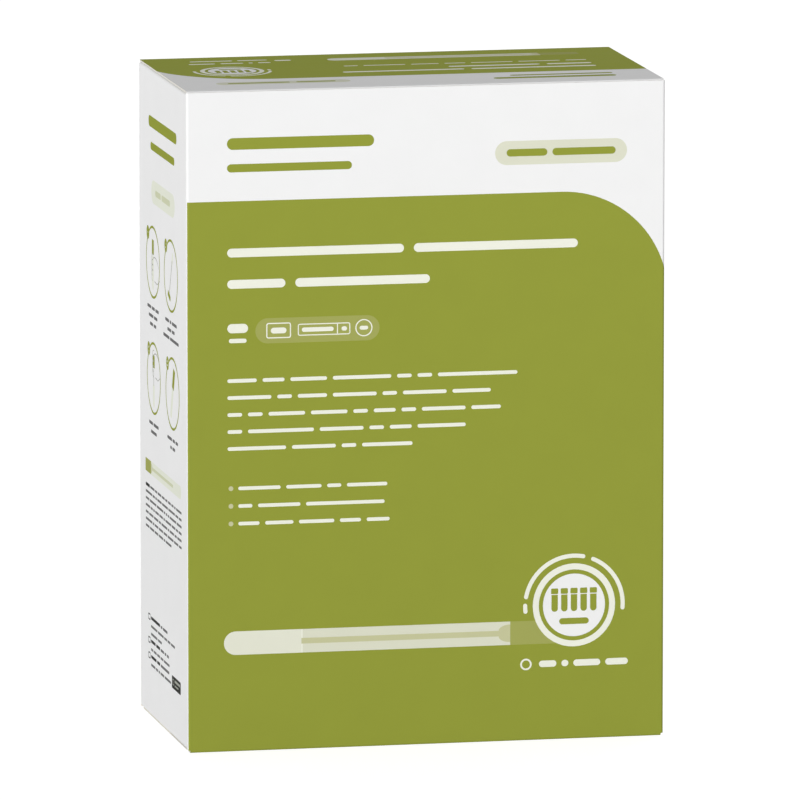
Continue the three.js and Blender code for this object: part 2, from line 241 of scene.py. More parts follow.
MATERIALS = {
    "coated": printed("coated_board", WHITE, spread=0.008),
    "raw": raw_board(),
    "cut": cut_board(),
    "film": wrap("pouch_film", srgb(244, 247, 248), roughness=0.12, clear=(0.05, 0.45)),
    "paper": wrap("pouch_paper", srgb(246, 246, 243), roughness=0.75),
    "tube": moulded("clear_tube", srgb(240, 244, 242), roughness=0.16, clear=(0.09, 0.55)),
    "cap": moulded("cap_plastic", OLIVE, roughness=0.32),
    "shaft": moulded("shaft_plastic", srgb(244, 244, 240), roughness=0.35),
    "tip": fibre(),
    "medium": moulded("gel_medium", srgb(226, 225, 208), roughness=0.12, clear=(0.4, 0.7)),
}
INKS = {name: printed(name + "_ink", colour) for name, colour in {
    "olive": OLIVE,
    "lid_olive": srgb(155, 163, 62),  # painted light: a lighter copy of the olive, which lifts the lid's top field above what the lamps give it
    "pale_olive": srgb(222, 223, 203),
    "faint_olive": srgb(233, 236, 221),
    "soft_olive": srgb(210, 214, 182),
    "light_olive": srgb(200, 200, 158),
    "olive_tint": srgb(164, 168, 93),
    "white": WHITE,
    "cream": srgb(231, 232, 215),
    "cream_white": srgb(241, 242, 228),
    "charcoal": srgb(54, 54, 52),
    "grey": srgb(168, 170, 160),
    "fine_grey": srgb(112, 112, 112),
}.items()}


# ---- print

def add_piece(name, mesh, material, body):
    """Piece made of a mesh. Without a body it rides on none yet."""
    bmesh.ops.recalc_face_normals(mesh, faces=mesh.faces)
    data = bpy.data.meshes.new(name)
    mesh.to_mesh(data)
    mesh.free()
    data.materials.append(material)
    piece = bpy.data.objects.new(name, data)
    bpy.context.scene.collection.objects.link(piece)
    if body:
        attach(piece, body)
    return piece


def closed_sheet(mesh, outer, inner):
    """Closed sheet between two grids of points of the same size."""
    grids = [[[mesh.verts.new(p) for p in row] for row in grid] for grid in (outer, inner)]
    rows, columns = len(outer), len(outer[0])
    for grid in grids:
        for a, b in zip(grid, grid[1:]):
            for j in range(columns - 1):
                mesh.faces.new((a[j], a[j + 1], b[j + 1], b[j]))
    over, under = grids
    for i in range(rows - 1):
        for j in (0, columns - 1):
            mesh.faces.new((over[i][j], over[i + 1][j], under[i + 1][j], under[i][j]))
    for j in range(columns - 1):
        for i in (0, rows - 1):
            mesh.faces.new((over[i][j], over[i][j + 1], under[i][j + 1], under[i][j]))


def polar(radius, degrees):
    """Point at a radius from the origin, at an angle."""
    return radius * math.cos(math.radians(degrees)), radius * math.sin(math.radians(degrees))


def arc(cu, cv, radius, start, end, steps):
    """Points on an arc round a point."""
    turns = [polar(radius, start + (end - start) * i / steps) for i in range(steps + 1)]
    return [(cu + du, cv + dv) for du, dv in turns]


def circle(cu, cv, radius, steps=48):
    """Points on a circle round a point."""
    return arc(cu, cv, radius, 0, 360, steps)[:-1]


def block(u, v, width, height):
    """Rectangle from its lower left corner."""
    return [(u, v), (u + width, v), (u + width, v + height), (u, v + height)]


def rounded(u, v, width, height, radius, steps=8):
    """Rectangle with round corners, from its lower left corner."""
    left, right, low, high = u + radius, u + width - radius, v + radius, v + height - radius
    return (arc(right, low, radius, -90, 0, steps) + arc(right, high, radius, 0, 90, steps)
            + arc(left, high, radius, 90, 180, steps) + arc(left, low, radius, 180, 270, steps))


def turned(outline, cu, cv, degrees):
    """Outline round the origin, turned and put at a point."""
    c, s = polar(1, degrees)
    return [(cu + p * c - q * s, cv + p * s + q * c) for p, q in outline]


def bent_bar(cu, cv, radius, thick, start, end):
    """Bar with round ends along an arc, clockwise from start to end."""
    def tip(angle, first):
        du, dv = polar(radius + thick / 2, angle)
        return arc(cu + du, cv + dv, thick / 2, first, first + 180, 6)
    steps = max(2, round((start - end) / 4))
    return (arc(cu, cv, radius + thick, end, start, steps)[1:-1] + tip(start, start)
            + arc(cu, cv, radius, start, end, steps)[1:-1] + tip(end, end + 180))


def trimmed(outline):
    """Outline without points that repeat."""
    return [p for p, q in zip(outline, outline[1:] + outline[:1]) if math.dist(p, q) > 1e-6]


class Panel:
    """A printed face. Its origin is its lower left corner as the print is read."""

    def __init__(self, name, corner, right, up, body, width):
        self.name, self.body, self.width = name, body, width
        self.corner, self.right, self.up = (Vector(v) for v in (corner, right, up))
        self.out = self.right.cross(self.up)

    def point(self, u, v, level):
        """Place in the scene of a point that stands proud of the panel by a level."""
        return self.corner + (self.right * u + self.up * v + self.out * level) * MM


half_width, half_depth, top = WIDTH / 2 * MM, DEPTH / 2 * MM, HEIGHT * MM
FRONT = Panel("front", (-half_width, -half_depth, 0), (1, 0, 0), (0, 0, 1), BODY, WIDTH)
BACK = Panel("back", (half_width, half_depth, 0), (-1, 0, 0), (0, 0, 1), BODY, WIDTH)
LEFT = Panel("left", (-half_width, half_depth, 0), (0, -1, 0), (0, 0, 1), BODY, DEPTH)
TOP = Panel("top", (half_width, half_depth, top), (-1, 0, 0), (0, -1, 0), LID, WIDTH)

WORD_LETTERS = (2, 3, 4, 5, 6, 8, 9)  # widths of words, in small letters' heights
WORD_GAP = 0.8  # between words, in small letters' heights


class Ink:
    """Thin plates of one ink on one panel, gathered into one piece."""

    LAYER = 0.015  # how far each layer of ink stands proud of the one under it
    PLATE = 0.05  # thickness of a plate; its foot is sunk in what lies under it

    def __init__(self, panel, name, ink, layer):
        self.panel, self.name, self.ink, self.level = panel, name, ink, layer * self.LAYER
        self.mesh = bmesh.new()

    def _ring(self, outline, level):
        """The mesh's own points along an outline."""
        return [self.mesh.verts.new(self.panel.point(u, v, level)) for u, v in outline]

    def plate(self, outline):
        """Plate with the given outline, counter-clockwise."""
        outline = trimmed(outline)
        upper, foot = self._ring(outline, self.level), self._ring(outline, self.level - self.PLATE)
        self.mesh.faces.new(upper)
        self.mesh.faces.new(foot[::-1])
        for i in range(len(upper)):
            j = (i + 1) % len(upper)
            self.mesh.faces.new((upper[i], foot[i], foot[j], upper[j]))

    def band(self, outer, inner):
        """Plate between two outlines with the same number of points."""
        foot = self.level - self.PLATE
        rings = [self._ring(outline, level) for outline, level in (
            (outer, self.level), (inner, self.level), (inner, foot), (outer, foot))]
        for a, b in zip(rings, rings[1:] + rings[:1]):
            for i in range(len(a)):
                j = (i + 1) % len(a)
                self.mesh.faces.new((a[i], a[j], b[j], b[i]))

    def bar(self, u, v, width, height):
        """Bar with round ends, from its lower left corner."""
        self.plate(rounded(u, v, width, height, min(width, height) / 2))

    def disc(self, u, v, radius, steps=24):
        """Disc round a point."""
        self.plate(circle(u, v, radius, steps))

    def box(self, u, v, width, height, line, radius=None):
        """Outline of a box with round corners, from its lower left corner."""
        radius = radius or 2 * line
        self.band(rounded(u, v, width, height, radius, 6), rounded(
            u + line, v + line, width - 2 * line, height - 2 * line, radius - line, 6))

    def ring(self, u, v, radius, line):
        """Ring of a given outer radius and line width."""
        self.band(circle(u, v, radius), circle(u, v, radius - line))

    def words(self, start, foot, widths, letter, bold=0.75, gap=WORD_GAP):
        """Word bars of given widths on a line. Letter is a small letter's height, and bold and
        gap are the bars' height and distance as shares of it."""
        u, height = start, letter * bold
        for width in widths:
            self.bar(u, foot + (letter - height) / 2, width, height)
            u += width + letter * gap

    def line(self, start, foot, end, letter, draw, bold=0.5):
        """Word bars of drawn widths that fill a line from start to end."""
        widths, left = [], end - start
        while left > 0:
            width = letter * draw.choice(WORD_LETTERS)
            if left - width < letter * (WORD_GAP + min(WORD_LETTERS)):
                width = left
            widths.append(width)
            left -= width + letter * WORD_GAP
        self.words(start, foot, widths, letter, bold)

    def finish(self):
        """Make the piece of the plates gathered so far."""
        add_piece(f"{self.panel.name}_{self.name}", self.mesh, INKS[self.ink], self.panel.body)


class Picture:
    """Pictogram of a capped tube that lies along the print, with its shaft and its filled end."""

    CAP, FILLED = 0.155, 0.228  # shares of the length
    SHAFT, PLUG, FLARE, DIVIDER = 0.24, 0.75, 0.5, 0.05  # shares of the height
    SHADES = ("cream", "pale_olive", "light_olive", "olive_tint")  # of the end, tube, shaft and cap

    def __init__(self, panel, u, v, length, height, inks=SHADES, flip=False):
        self.panel, self.u, self.length, self.flip = panel, u, length, flip
        end_ink, tube_ink, shaft_ink, cap_ink = inks
        radius, middle = height / 2, v + height / 2
        filled, stop = u + length * self.FILLED, u + length * (1 - self.CAP)
        line, flare = height * self.DIVIDER, height * self.FLARE
        thin, wide = height * self.SHAFT / 2, height * self.PLUG / 2
        plug = [(stop - c, thin + (wide - thin) * s / flare)
                for c, s in (polar(flare, a) for a in range(0, 91, 9))]
        shaft = [(filled, thin)] + plug
        self.part("end", end_ink, 2, arc(u + radius, middle, radius, 90, 270, 16)
                  + [(filled, v), (filled, v + height)])
        self.part("divider", "cream_white", 2, block(filled, v, line, height))
        self.part("tube", tube_ink, 2, block(filled + line, v, stop - filled - line, height))
        self.part("shaft", shaft_ink, 3, [(p, middle - q) for p, q in shaft]
                  + [(p, middle + q) for p, q in shaft[::-1]])
        self.part("cap", cap_ink, 2, block(stop, v, u + length - stop, height))

    def part(self, name, ink, layer, outline):
        """Piece of one plate. In a flipped picture it lies at the other end."""
        if self.flip:
            outline = [(2 * self.u + self.length - p, q) for p, q in outline[::-1]]
        piece = Ink(self.panel, f"picture_{name}", ink, layer)
        piece.plate(outline)
        piece.finish()


# a small tube's parts: the first as a share of its width, the others of half of it
SMALL_GAP, SMALL_FOOT, SMALL_CAP, SMALL_CORNER = 0.12, 0.98, 1.12, 0.3


def small_tube(cap_ink, body_ink, cu, cv, width, height, lean=0, cap_share=0.24):
    """Tube round a point, leaning to the left, with a cap on top that takes a share of it."""
    half, cap = width / 2, height * cap_share
    low, high = -height / 2, height / 2 - cap - width * SMALL_GAP
    body = [(p, q if q < high - half else high)
            for p, q in rounded(-half, low, width, high - low, half * SMALL_FOOT)]
    body_ink.plate(turned(body, cu, cv, lean))
    wide = half * SMALL_CAP
    lid = rounded(-wide, height / 2 - cap, wide * 2, cap, half * SMALL_CORNER, 3)
    cap_ink.plate(turned(lid, cu, cv, lean))


def roundel(panel, cu, cv, radius):
    """White disc with a cream rim, an olive ring and small tubes, and word bars round its top."""
    r = radius  # everything is a share of it
    disc = Ink(panel, "roundel_disc", "white", 3)
    disc.disc(cu, cv, r * 0.8, 64)
    disc.finish()
    rim = Ink(panel, "roundel_rim", "cream_white", 3)
    rim.ring(cu, cv, r, line=r * 0.18)
    rim.finish()
    marks = Ink(panel, "roundel_marks", "olive", 4)
    marks.ring(cu, cv, r * 0.855, line=r * 0.1)
    for i in range(-2, 3):
        place = (cu + i * r * 0.235, cv + r * 0.13)
        small_tube(marks, marks, *place, width=r * 0.155, height=r * 0.56)
    marks.bar(cu - r * 0.36, cv - r * 0.46, width=r * 0.72, height=r * 0.15)
    marks.finish()
    arch = Ink(panel, "roundel_arch", "cream_white", 2)
    for start, end in ((186, 179), (169, 79), (67, -5)):
        arch.plate(bent_bar(cu, cv, r * 1.135, r * 0.1, start, end))
    arch.finish()


MARGIN = 16.0  # from a wide panel's left edge to its print
FIELD_TOP = 216.8  # height of the olive field on the upright panels
CORNER, CORNER_RADIUS = 41.0, 42.4  # round corner of the olive field: its width and its radius
CORNER_STEPS = 24
LEFT_WRAP, WRAP = 45, 70  # how far the field goes round the fold at its left, and the other two


def field_edge(u, header, width):
    """Top of the olive field at u: level, then round a corner that runs out past the edge."""
    across = max(0.0, min(u, width) - (width - CORNER))
    return header - CORNER_RADIUS + math.sqrt(CORNER_RADIUS ** 2 - across ** 2)


def corner_places(width, edge):
    """Places across the field's round corner, up to a distance from the panel's edge."""
    return [width - CORNER + polar(CORNER - edge, 90 * i / CORNER_STEPS)[1]
            for i in range(CORNER_STEPS + 1)]


def upright_field(panel, foot):
    """Olive field over a wide upright panel and round the folds at its left, right and foot."""
    def round_fold(degrees):
        """How far in, to the side and forwards the field faces at a place round a fold."""
        out, side = polar(1, degrees)
        return FOLD * (1 - side), side, out
    left = [round_fold(LEFT_WRAP * (1 - i / 4)) for i in range(5)]
    right = [round_fold(WRAP * i / 6) for i in range(1, 7)]
    columns = [(inset, -side, out) for inset, side, out in left]
    columns += [(u, 0.0, 1.0) for u in corner_places(panel.width, FOLD)]
    columns += [(panel.width - inset, side, out) for inset, side, out in right]

    def face(lift):
        """Points at the foot and the top of the field."""
        rows = [[], []]
        for u, side, out in columns:
            place, level = u + side * lift, out * (FOLD + lift) - FOLD
            rows[0].append(panel.point(place, foot, level))
            rows[1].append(panel.point(place, field_edge(u, FIELD_TOP, panel.width), level))
        return rows

    def skirt(lift):
        """Points round the fold at the panel's foot."""
        rows = []
        for i in range(7):
            out, down = polar(FOLD + lift, WRAP * i / 6)
            rows.append([panel.point(u, foot - down, out - FOLD)
                         for u in (FOLD, panel.width - FOLD)])
        return rows
    mesh = bmesh.new()
    for grid in (face, skirt):
        closed_sheet(mesh, grid(Ink.LAYER), grid(Ink.LAYER - Ink.PLATE))
    add_piece(panel.name + "_olive_field", mesh, INKS["olive"], panel.body)


def bars(panel, name, ink, layer, *places):
    """Piece of bars with round ends, each given as (left, foot, width, height)."""
    piece = Ink(panel, name, ink, layer)
    for place in places:
        piece.bar(*place)
    piece.finish()


def heading(panel, header, pill, words, pill_ink="pale_olive", word_ink="olive"):
    """Header bars, and a pill with word bars on it."""
    bars(panel, "header_bars", "olive", 1, *header)
    bars(panel, "pill", pill_ink, 1, pill)
    marks = Ink(panel, "pill_bars", word_ink, 2)
    marks.words(**words)
    marks.finish()


def front_print():
    """Olive field, heading, two large lines, marks, text, three bullets, a tube and a roundel."""
    draw = random.Random(7)
    upright_field(FRONT, FRONT_FOOT)
    heading(FRONT, header=((MARGIN, 236.9, 58.2, 4.6), (MARGIN, 228.1, 49.4, 3.2)),
            pill=(122.2, 227.9, 52.6, 9.4),
            words=dict(start=126.8, foot=230.8, widths=(16.2, 25.2), letter=3.7, bold=0.78,
                       gap=0.55))
    text = Ink(FRONT, "text_bars", "cream_white", 2)
    for foot, widths in ((194.1, (70.0, 65.3)), (181.8, (23.0, 53.4))):
        text.words(MARGIN, foot, widths, letter=4.9, bold=0.7)
    for i, end in enumerate((131.2, 120.6, 124.6, 110.6, 89.4)):
        text.line(MARGIN, 144.9 - 6.68 * i, end, letter=2.9, draw=draw)
    bullets = Ink(FRONT, "bullets", "light_olive", 2)
    for i, end in enumerate((79.4, 78.3, 80.3)):
        foot = 102.6 - 6.95 * i
        bullets.disc(17.3, foot + 1.4, radius=0.95, steps=20)
        text.line(20.2, foot, end, letter=2.8, draw=draw)
    bullets.finish()
    text.ring(134.8, 30.3, radius=2.3, line=0.7)
    text.words(140.0, 28.3, (7.0, 2.8, 10.8, 9.1), letter=4.0, bold=0.64, gap=0.5)
    text.bar(MARGIN, 165.1, width=8.2, height=3.6)
    text.bar(MARGIN + 0.6, 161.2, width=7.0, height=1.7)
    text.finish()
    bars(FRONT, "marks_pill", "olive_tint", 2, (27.1, 160.7, 49.2, 9.9))
    marks = Ink(FRONT, "marks", "cream_white", 3)
    marks.box(31.4, 162.6, width=9.8, height=6.1, line=0.45)
    marks.bar(33.2, 164.5, width=6.2, height=2.3)
    marks.box(43.9, 163.3, width=20.8, height=4.7, line=0.4)
    marks.plate(block(59.4, 163.6, width=0.4, height=4.1))
    marks.bar(45.5, 164.8, width=12.6, height=1.7)
    marks.bar(61.2, 164.8, width=2.2, height=1.7)
    marks.ring(70.1, 165.7, radius=3.4, line=0.45)
    marks.bar(68.4, 164.95, width=3.4, height=1.5)
    marks.finish()
    Picture(FRONT, 14.4, 38.3, length=135.0, height=9.3)
    roundel(FRONT, 154.0, 53.3, radius=16.5)


STEPS = ((29.3, 183.3), (67.1, 183.3), (30.4, 137.2), (70.0, 137.2))  # middles of the step rings
STEP_RADIUS = 14.4
STEP_LINE = 0.35  # thickness of a hand's outline
# a hand's arcs round the tube that it holds: middle (u, v), radius, start and end
HAND = [(-0.2, 3.0 - 2.1 * i, 2.1, 250, 70) for i in range(4)] + [
    (4.4, -6.0, 10.2, 112, 42), (7.2, 7.0, 12.6, 252, 304)]


def holding_hand(ink, cu, cv):
    """Outline of a hand that comes in from the right and closes round a tube at a point."""
    for du, dv, radius, start, end in HAND:
        ink.plate(bent_bar(cu + du, cv + dv, radius, STEP_LINE, start, end))


def upright(ink, place, foot, width, height, radius, lean=0, steps=3):
    """Upright bar with round corners, its foot a height from the place that it leans about."""
    ink.plate(turned(rounded(-width / 2, foot, width, height, radius, steps), *place, lean))


def step_pictures():
    """Four rings: a closed tube, a swab, the swab over its tube, and a tube with its swab in."""
    olive = Ink(LEFT, "step_rings", "olive", 1)
    pale = Ink(LEFT, "step_tubes", "faint_olive", 1)
    dots = Ink(LEFT, "step_dots", "olive", 2)
    pips = Ink(LEFT, "step_pips", "cream_white", 3)
    lines = Ink(LEFT, "step_lines", "grey", 2)
    for count, (cu, cv) in enumerate(STEPS, 1):
        olive.ring(cu, cv, STEP_RADIUS, line=0.95)
        dot = (cu - 10.4, cv + 10.6)
        dots.disc(*dot, radius=2.7)
        for u, v in [dot] if count == 1 else arc(*dot, 1.1, 45, 405, count)[:-1]:
            pips.disc(u, v, radius=0.42, steps=10)
    closed, swab, opened, filled = STEPS
    small_tube(olive, pale, closed[0], closed[1] - 1, width=3.4, height=20, cap_share=0.3)
    holding_hand(lines, closed[0], closed[1] - 2)
    upright(lines, swab, foot=-8.0, width=0.7, height=15.0, radius=0.34, lean=-24)
    upright(pale, swab, foot=5.0, width=2.0, height=5.4, radius=0.98, lean=-24, steps=8)
    upright(olive, swab, foot=-10.2, width=5.8, height=2.2, radius=0.6, lean=-24)
    upright(lines, opened, foot=-3.0, width=0.7, height=7.0, radius=0.34)
    upright(olive, opened, foot=4.2, width=3.8, height=5.2, radius=0.6)
    upright(pale, opened, foot=-11.6, width=3.4, height=9.4, radius=1.66, steps=8)
    holding_hand(lines, opened[0], opened[1] + 6)
    small_tube(olive, pale, *filled, width=3.4, height=21, lean=-20, cap_share=0.4)
    for ink in (olive, pale, dots, pips, lines):
        ink.finish()


def left_print():
    """Heading, step pictures with their captions, small print, boxed lines and a tube."""
    draw = random.Random(12)
    heading(LEFT, header=((21.0, 236.5, 58.6, 4.4), (25.0, 227.6, 50.0, 3.1)),
            pill=(26.5, 206.8, 49.0, 9.2),
            words=dict(start=34.8, foot=209.9, widths=(11.6, 17.6), letter=3.0, bold=0.8, gap=0.55),
            pill_ink="faint_olive", word_ink="soft_olive")
    step_pictures()
    bold = Ink(LEFT, "bold_bars", "charcoal", 1)
    fine = Ink(LEFT, "fine_bars", "fine_grey", 1)
    captions = ((24, 18, 13), (24, 15, 32), (20, 12), (22, 10))
    for (cu, cv), widths in zip(STEPS, captions):
        for i, width in enumerate(widths):
            fine.line(cu - width / 2, cv - STEP_RADIUS - 4.8 - 3.3 * i, cu + width / 2,
                      letter=1.6, draw=draw, bold=0.8)
    bold.bar(12.6, 92.1, width=8.4, height=1.3)
    for i, (start, end) in enumerate([(22.2, 88.0)] + 5 * [(12.6, 88.0)] + [(12.6, 66.7)]):
        fine.line(start, 92.0 - 2.75 * i, end, letter=1.5, draw=draw, bold=0.64)
    # the ends of seven lines, and which have a small box and bold words in front
    lines = ((57.9, True), (73.5, False), (45.8, False), (60.7, True), (62.0, False),
             (61.4, True), (65.0, False))
    for i, (end, boxed) in enumerate(lines):
        foot = 39.5 - 3.1 * i
        if boxed:
            bold.box(17.2, foot - 0.4, width=4.4, height=2.6, line=0.5, radius=0.8)
            bold.line(23.0, foot, 42.0, letter=1.9, draw=draw, bold=0.66)
            fine.line(43.5, foot, end, letter=1.7, draw=draw, bold=0.66)
        else:
            fine.line(23.0, foot, end, letter=1.5, draw=draw, bold=0.66)
    bold.plate(rounded(67.0, 20.3, width=18.4, height=5.0, radius=0.7, steps=4))
    bold.finish()
    fine.finish()
    box_marks = Ink(LEFT, "box_marks", "grey", 2)
    box_marks.box(68.3, 21.7, width=3.0, height=2.4, line=0.3, radius=0.5)
    box_marks.line(73.0, 23.0, 84.0, letter=1.4, draw=draw, bold=0.7)
    box_marks.line(73.0, 21.3, 80.6, letter=1.2, draw=draw, bold=0.5)
    box_marks.finish()
    Picture(LEFT, 12.4, 98.0, length=75.2, height=5.2, flip=True,
            inks=("faint_olive", "faint_olive", "soft_olive", "olive_tint"))


def lid_print():
    """The front's layout squeezed to the lid's depth, with its header at the front edge."""
    header = 68.4
    # painted light: the lid's field takes the lighter copy of the olive ink
    field = Ink(TOP, "olive_field", "lid_olive", 1)
    corner = [(u, field_edge(u, header, WIDTH)) for u in corner_places(WIDTH, SLIP)]
    field.plate([(SLIP, FOLD), (WIDTH - SLIP, FOLD)] + corner[::-1] + [(SLIP, header)])
    field.finish()
    heading(TOP, header=((MARGIN, 82.2, 49.0, 4.2), (MARGIN, 75.8, 41.0, 2.8)),
            pill=(121.0, 75.6, 53.2, 7.6),
            words=dict(start=126.8, foot=77.9, widths=(15.8, 24.6), letter=3.0, bold=0.72))
    text = Ink(TOP, "text_bars", "cream_white", 2)
    for foot, widths in ((53.0, (50.0, 48.6)), (44.6, (18.0, 36.6))):
        text.words(17.5, foot, widths, letter=3.6, bold=0.74)
    text.line(17.5, 35.6, 115.0, letter=2.8, draw=random.Random(3))
    text.words(141.0, 19.2, (5.0, 1.8, 9.2, 10.6), letter=2.6)
    text.words(141.0, 11.6, (12.0, 17.0), letter=2.4)
    text.bar(131.8, 14.0, width=6.7, height=2.6)
    text.finish()
    Picture(TOP, 16.5, 13.4, length=101.0, height=6.6, flip=True)
    roundel(TOP, 160.8, 43.0, radius=12.6)


# ---- carton

COATED, RAW, CUT = range(3)  # the board's materials, in the order of its slots
STRAIGHT = 0.9  # a face looks along an axis where its normal has this share of it
LEANING = 0.3  # and partly so where it has this share
OUTSIDE = 0.35  # how far inside the box the middle of an outer face may lie
FLAPS = 4  # how far from the top and the base the flaps' faces reach
CUT_FLAPS_TOP, CUT_FLAPS_BASE = 2.2, 1.9  # the same for their cut edges,
CLEAR_SIDE, CLEAR_FRONT = 1.1, 0.7  # which lie at least as far in as this


def dress_board(node, kind):
    """Coated print side, raw back and cut edges on one folded sheet, told apart face by face."""
    board = frame["nodes"][node]
    board.data.materials.clear()
    for material in ("coated", "raw", "cut"):
        board.data.materials.append(MATERIALS[material])
    for face in board.data.polygons:
        face.material_index = kind(face.center / MM, face.normal)
    board.data.update()


def body_face(c, n):
    """Material of a face of the carton's body, from its middle and its normal."""
    near_side, near_front = WIDTH / 2 - abs(c.x), DEPTH / 2 - abs(c.y)
    outer_side = near_side < OUTSIDE and n.x * c.x > 0
    outer_front = near_front < OUTSIDE and n.y * c.y > 0
    if (outer_side or outer_front) and abs(n.z) < STRAIGHT:
        return COATED
    if c.z > HEIGHT - FOLD and n.z > STRAIGHT and near_front < BOARD:  # the front panel's top
        return CUT
    if c.y > 0 and near_front < BOARD and n.y < -LEANING and n.z > LEANING:  # the hinge's slot
        return RAW
    if c.z > HEIGHT - FLAPS and n.z > LEANING:  # the dust flaps
        return COATED
    if c.z < FOLD * 2 and n.z < -STRAIGHT and near_side < FOLD and near_front < FOLD:
        return CUT  # the foot of the corner folds
    if c.z < FLAPS and n.z < -LEANING:  # the base flaps
        return COATED
    at_end = c.z > HEIGHT - CUT_FLAPS_TOP or c.z < CUT_FLAPS_BASE
    clear = near_side > CLEAR_SIDE and near_front > CLEAR_FRONT
    if at_end and clear and abs(n.z) < 1 - STRAIGHT:
        return CUT  # the flaps' edges
    return RAW


def lid_face(c, n):
    """Material of a face of the lid, whose tuck flap turns its print side to the front."""
    if n.z > LEANING or (n.y < -LEANING and c.y < 0):
        return COATED
    side_edge, tuck_foot = abs(n.x) > STRAIGHT, n.z < -STRAIGHT and c.z < HEIGHT - FLAPS
    return CUT if side_edge or tuck_foot else RAW


def hinge_crease():
    """Strip of board round the back fold, which bears the lid's ink."""
    round_it, across = 36, 24  # steps
    centre_y, centre_z = half_depth - FOLD * MM, top - FOLD * MM
    reach = (WIDTH / 2 - FOLD) * MM

    def layer(lift):
        """Points round the fold that stand proud of the panels by a lift."""
        rows = []
        for i in range(round_it + 1):
            y, z = polar((FOLD + lift) * MM, 90 * i / round_it)
            rows.append([Vector((reach * (2 * j / across - 1), centre_y + y, centre_z + z))
                         for j in range(across + 1)])
        return rows
    mesh = bmesh.new()
    closed_sheet(mesh, layer(Ink.LAYER), layer(Ink.LAYER - BOARD))
    piece = add_piece("hinge_crease", mesh, MATERIALS["coated"], None)
    # painted light: the strip's part on the lid takes the lid's lighter copy of the olive ink
    for material in (INKS["lid_olive"], MATERIALS["raw"]):
        piece.data.materials.append(material)
    white, olive, raw = range(3)
    for face in piece.data.polygons:
        y, z = face.center.y - centre_y, face.center.z - centre_z
        outer = math.hypot(y, z) > (FOLD - BOARD / 4) * MM
        on_lid = math.atan2(z, y) > math.radians(LID_BOARD)
        face.material_index = raw if not outer else olive if on_lid else white
    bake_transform(piece)


# ---- swab tubes

# lengths, places along the tube from the cap's end, and radii
TUBE_LENGTH, TUBE_RADIUS, TUBE_WALL = 150.0, 6.5, 1.0
CAP_HEAD, CAP_RIM, CAP_PLUG, PLUG_TAPER = 20.0, 5.0, 4.5, 1.6
CAP_RADIUS, CAP_WAIST = 6.8, 6.2
SHAFT_RADIUS, SHAFT_START, SHAFT_END = 1.2, 14.0, 130.0
TIP_RADIUS, TIP_NECK, TIP_FULL, TIP_END = 2.7, 122.0, 128.4, 138.0
MEDIUM_START = 115.0
FIT = 0.3  # gap between pieces that fit in each other
POUCH_RADIUS, WEB, LIP_REACH, LIP_HEIGHT = 7.25, 0.15, 7.6, 3.5
HALF_POUCH, HALF_TUBE, FLAT_SEAL = 89.0, 75.0, 7.0
COLUMN_PITCH, LAYER_PITCH = 15.5, 14.8

EDGE, NOSE = 0.2, 0.8  # rounding of moulded edges, and of the cap's end
DIMPLE, DIMPLE_DEPTH = 3.8, 0.5  # hollow in the cap's end
PLAIN_END, PLAIN_RIM = 1.5, 0.5  # smooth stretches at either end of the cap's ribs
SHARP = 38  # faces that meet at more than this keep a sharp edge
FILM_EDGE, PAPER_EDGE = 4, 20  # how far from level the film's and the paper's round parts end
CRIMP = 0.05  # height of the crimps across a flat seal, which are a millimetre apart
LIP_WAVE, LIP_SLOPE = 0.12, 0.05  # how far the side seals wave, and how they spread when flat
FALL = 0.14  # how far the film falls in, on average
DENTS, CREASES = (0.045, 1.3, 0.13), (0.3, 3.0, 0.05)  # how close along and round, how deep
RIBS, RIB_DEPTH = 30, 0.16  # grip ribs round the cap
CORE = 1.6  # radius of the tip where its fibre starts
STRANDS, SLANT, STRAND_DEPTH = 5, 4.2, 0.05  # how many round the tip, radians per millimetre
TUFTS, TUFT_DEPTH, FIBRE_FALL = 1.4, 0.08, 0.09  # how close along, how deep, and the mean depth


def smooth(t):
    """Soft step from 0 to 1."""
    t = max(0.0, min(1.0, t))
    return t * t * (3 - 2 * t)


def round_end(radius, end, steps=10):
    """Quarter circle that ends on the axis, as (radius, place) pairs."""
    turn = [polar(radius, 90 * i / steps) for i in range(steps)]
    return [(r, end - radius + along) for r, along in turn] + [(0, end)]


def between(start, end, steps):
    """Points on a straight stretch of a profile, without its last one."""
    return [tuple(p + (q - p) * i / steps for p, q in zip(start, end)) for i in range(steps)]


